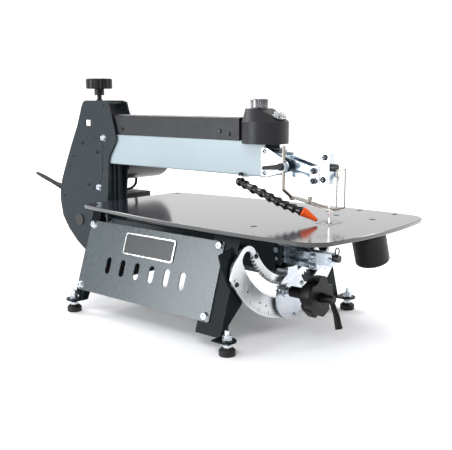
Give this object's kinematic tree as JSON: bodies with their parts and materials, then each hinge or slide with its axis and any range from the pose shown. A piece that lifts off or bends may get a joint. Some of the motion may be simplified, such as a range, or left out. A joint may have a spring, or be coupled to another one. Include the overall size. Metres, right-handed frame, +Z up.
{
  "type": "scroll saw",
  "caption": "Benchtop scroll saw with a tilting parallel-arm head, shaped table, toothed tilt trunnion, hold-down and air nozzle.",
  "frame": {"origin": "on the bench, under the middle of the saw's length and width, power lead left out", "axes": "+Z up, +X to the operator's right, +Y away from the operator along the arms"},
  "size_m": [0.411, 0.9484, 0.44],
  "materials": {
    "slate_powder_coat": "fine powder coat",
    "panel_powder_coat": "fine powder coat",
    "silver_blue_paint": "satin paint",
    "charcoal_plastic": "moulded satin",
    "black_plastic": "moulded",
    "black_steel": "black oxide",
    "zinc": "bright zinc plate",
    "steel": "machined",
    "table_coat": "glossy grey coat",
    "insert_plastic": "moulded",
    "chrome": "polished",
    "rubber": "moulded",
    "orange_plastic": "moulded",
    "cable_pvc": "pvc",
    "badge_metal": "brushed with bright border",
    "motor_paint": "black paint",
    "blade_steel": "tempered"
  },
  "bodies": {
    "base": {"front_leg_panel": "slate_powder_coat", "rear_leg_panel": "slate_powder_coat", "left_side_panel": "panel_powder_coat", "right_side_panel": "panel_powder_coat", "base_fasteners": "zinc", "badge_plate": "badge_metal", "front_trunnion": "zinc", "rear_trunnion": "zinc", "table": "table_coat", "base_socket_screws": "black_steel", "table_insert": "insert_plastic", "dust_port": "black_plastic", "power_cord": "cable_pvc", "cord_coil": "cable_pvc", "power_plug": "black_plastic"},
    "head": {"left_side_plate": "slate_powder_coat", "right_side_plate": "slate_powder_coat", "access_cover": "slate_powder_coat", "column_spacers": "slate_powder_coat", "column_bolts": "zinc", "column_screws": "black_steel", "upper_arm": "silver_blue_paint", "lower_arm": "slate_powder_coat", "arm_cover": "charcoal_plastic", "head_cap": "charcoal_plastic", "motor_housing": "motor_paint", "motor_end_cap": "motor_paint", "controller_box": "black_plastic", "motor_lead": "cable_pvc", "cord_gland": "black_plastic", "pointer_plate": "zinc", "arm_brackets": "zinc"},
    "foot_front_left": {"levelling_foot_front_left": "rubber"},
    "foot_front_right": {"levelling_foot_front_right": "rubber"},
    "foot_rear_left": {"levelling_foot_rear_left": "rubber"},
    "foot_rear_right": {"levelling_foot_rear_right": "rubber"},
    "upper_link": {"upper_link": "zinc"},
    "upper_parallel": {"upper_parallel_link": "zinc"},
    "upper_holder": {"upper_blade_holder": "zinc", "blade": "blade_steel"},
    "upper_clamp": {"upper_clamp_screw": "black_steel"},
    "lower_link": {"lower_link": "zinc"},
    "lower_parallel": {"lower_parallel_link": "zinc"},
    "lower_holder": {"lower_blade_holder": "zinc"},
    "lower_clamp": {"lower_clamp_screw": "black_steel"},
    "upper_rod": {"upper_drive_rod": "steel"},
    "lower_rod": {"lower_drive_rod": "steel"},
    "rear_rocker": {"rear_rocker": "steel"},
    "connecting_rod": {"connecting_rod": "steel"},
    "motor_eccentric": {"motor_eccentric": "steel"},
    "tension_knob": {"tension_knob": "black_plastic"},
    "speed_knob": {"speed_knob": "chrome"},
    "power_switch": {"power_switch": "black_plastic"},
    "tilt_drive": {"pinion_shaft": "steel", "tilt_knob": "black_plastic"},
    "lock_lever": {"lock_lever": "black_plastic"},
    "hold_down": {"hold_down": "zinc"},
    "wing_knob": {"wing_knob": "black_plastic"},
    "air_nozzle": {"air_hose": "black_plastic", "air_nozzle": "orange_plastic"}
  },
  "joints": [
    {"name": "head_tilt", "type": "hinge", "parent": "base", "child": "head", "pos_m": [0, -0.02985, 0.1975], "axis": [0, 1, 0], "range_deg": [-45, 45], "deforming": ["air_hose", "air_nozzle"]},
    {"name": "tilt_knob_turn", "type": "hinge", "parent": "head", "child": "tilt_drive", "pos_m": [-0.01628, -0.24985, 0.07388], "axis": [0, 1, 0], "range_deg": [-490, 490]},
    {"name": "lock_lever_turn", "type": "hinge", "parent": "head", "child": "lock_lever", "pos_m": [-0.01628, -0.29985, 0.07388], "axis": [0, 1, 0], "range_deg": [-40, 40]},
    {"name": "blade_stroke", "type": "hinge", "parent": "head", "child": "upper_link", "pos_m": [0, -0.19385, 0.298], "axis": [1, 0, 0], "range_deg": [-7.6, 7.6]},
    {"name": "upper_parallel_swing", "type": "hinge", "parent": "head", "child": "upper_parallel", "pos_m": [0, -0.19385, 0.2814], "axis": [1, 0, 0], "range_deg": [-8.6, 8.6]},
    {"name": "upper_holder_pivot", "type": "hinge", "parent": "upper_link", "child": "upper_holder", "pos_m": [0, -0.26515, 0.2827], "axis": [1, 0, 0], "range_deg": [-8.6, 8.6]},
    {"name": "upper_clamp_turn", "type": "hinge", "parent": "upper_holder", "child": "upper_clamp", "pos_m": [0, -0.29785, 0.289], "axis": [0, 1, 0], "range_deg": [-180, 180]},
    {"name": "lower_link_swing", "type": "hinge", "parent": "head", "child": "lower_link", "pos_m": [0, -0.19385, 0.1425], "axis": [1, 0, 0], "range_deg": [-8.6, 8.6]},
    {"name": "lower_parallel_swing", "type": "hinge", "parent": "head", "child": "lower_parallel", "pos_m": [0, -0.19385, 0.1259], "axis": [1, 0, 0], "range_deg": [-8.6, 8.6]},
    {"name": "lower_holder_pivot", "type": "hinge", "parent": "lower_link", "child": "lower_holder", "pos_m": [0, -0.26515, 0.1395], "axis": [1, 0, 0], "range_deg": [-8.6, 8.6]},
    {"name": "lower_clamp_turn", "type": "hinge", "parent": "lower_holder", "child": "lower_clamp", "pos_m": [0, -0.30685, 0.1395], "axis": [0, 1, 0], "range_deg": [-90, 90]},
    {"name": "upper_rod_slide", "type": "slide", "parent": "head", "child": "upper_rod", "axis": [0, 1, 0], "range_m": [-0.003, 0.003]},
    {"name": "lower_rod_slide", "type": "slide", "parent": "head", "child": "lower_rod", "axis": [0, 1, 0], "range_m": [-0.004, 0.004]},
    {"name": "rear_rocker_swing", "type": "hinge", "parent": "head", "child": "rear_rocker", "pos_m": [0, 0.31515, 0.23253], "axis": [1, 0, 0], "range_deg": [-2, 2]},
    {"name": "connecting_rod_pivot", "type": "hinge", "parent": "rear_rocker", "child": "connecting_rod", "pos_m": [0, 0.31515, 0.276], "axis": [1, 0, 0], "range_deg": [-2, 2]},
    {"name": "motor_spin", "type": "hinge", "parent": "head", "child": "motor_eccentric", "pos_m": [0, 0.27615, 0.276], "axis": [1, 0, 0], "continuous": true},
    {"name": "tension_knob_turn", "type": "hinge", "parent": "head", "child": "tension_knob", "pos_m": [0, 0.28815, 0.43], "axis": [0, 0, 1], "range_deg": [-360, 360]},
    {"name": "speed_knob_turn", "type": "hinge", "parent": "head", "child": "speed_knob", "pos_m": [0, -0.14085, 0.39], "axis": [0, 0, 1], "range_deg": [0, 300]},
    {"name": "switch_rock", "type": "hinge", "parent": "head", "child": "power_switch", "pos_m": [0, -0.18333, 0.36831], "axis": [1, 0, 0], "range_deg": [-6, 6]},
    {"name": "hold_down_height", "type": "slide", "parent": "head", "child": "hold_down", "axis": [0, 0, 1], "range_m": [-0.01, 0.008]},
    {"name": "hold_down_clamp_turn", "type": "hinge", "parent": "head", "child": "wing_knob", "pos_m": [-0.0275, -0.21585, 0.288], "axis": [1, 0, 0], "range_deg": [-60, 60]},
    {"name": "air_hose_swivel", "type": "hinge", "parent": "head", "child": "air_nozzle", "pos_m": [-0.027, -0.12185, 0.262], "axis": [0, 0, 1], "range_deg": [-30, 2]},
    {"name": "foot_front_left_height", "type": "slide", "parent": "base", "child": "foot_front_left", "axis": [0, 0, -1], "range_m": [0, 0.008]},
    {"name": "foot_front_right_height", "type": "slide", "parent": "base", "child": "foot_front_right", "axis": [0, 0, -1], "range_m": [0, 0.008]},
    {"name": "foot_rear_left_height", "type": "slide", "parent": "base", "child": "foot_rear_left", "axis": [0, 0, -1], "range_m": [0, 0.008]},
    {"name": "foot_rear_right_height", "type": "slide", "parent": "base", "child": "foot_rear_right", "axis": [0, 0, -1], "range_m": [0, 0.008]}
  ],
  "couplings": [
    {"joint": "tilt_knob_turn", "follows": "head_tilt", "ratio": 10.667},
    {"joint": "upper_parallel_swing", "follows": "blade_stroke", "ratio": 1},
    {"joint": "upper_holder_pivot", "follows": "blade_stroke", "ratio": -1},
    {"joint": "lower_link_swing", "follows": "blade_stroke", "ratio": 1},
    {"joint": "lower_parallel_swing", "follows": "blade_stroke", "ratio": 1},
    {"joint": "lower_holder_pivot", "follows": "blade_stroke", "ratio": -1},
    {"joint": "upper_rod_slide", "follows": "blade_stroke", "m_per_rad": -0.016},
    {"joint": "lower_rod_slide", "follows": "blade_stroke", "m_per_rad": 0.022},
    {"joint": "rear_rocker_swing", "follows": "blade_stroke", "ratio": 0.19638},
    {"joint": "connecting_rod_pivot", "follows": "blade_stroke", "ratio": -0.19638}
  ]
}
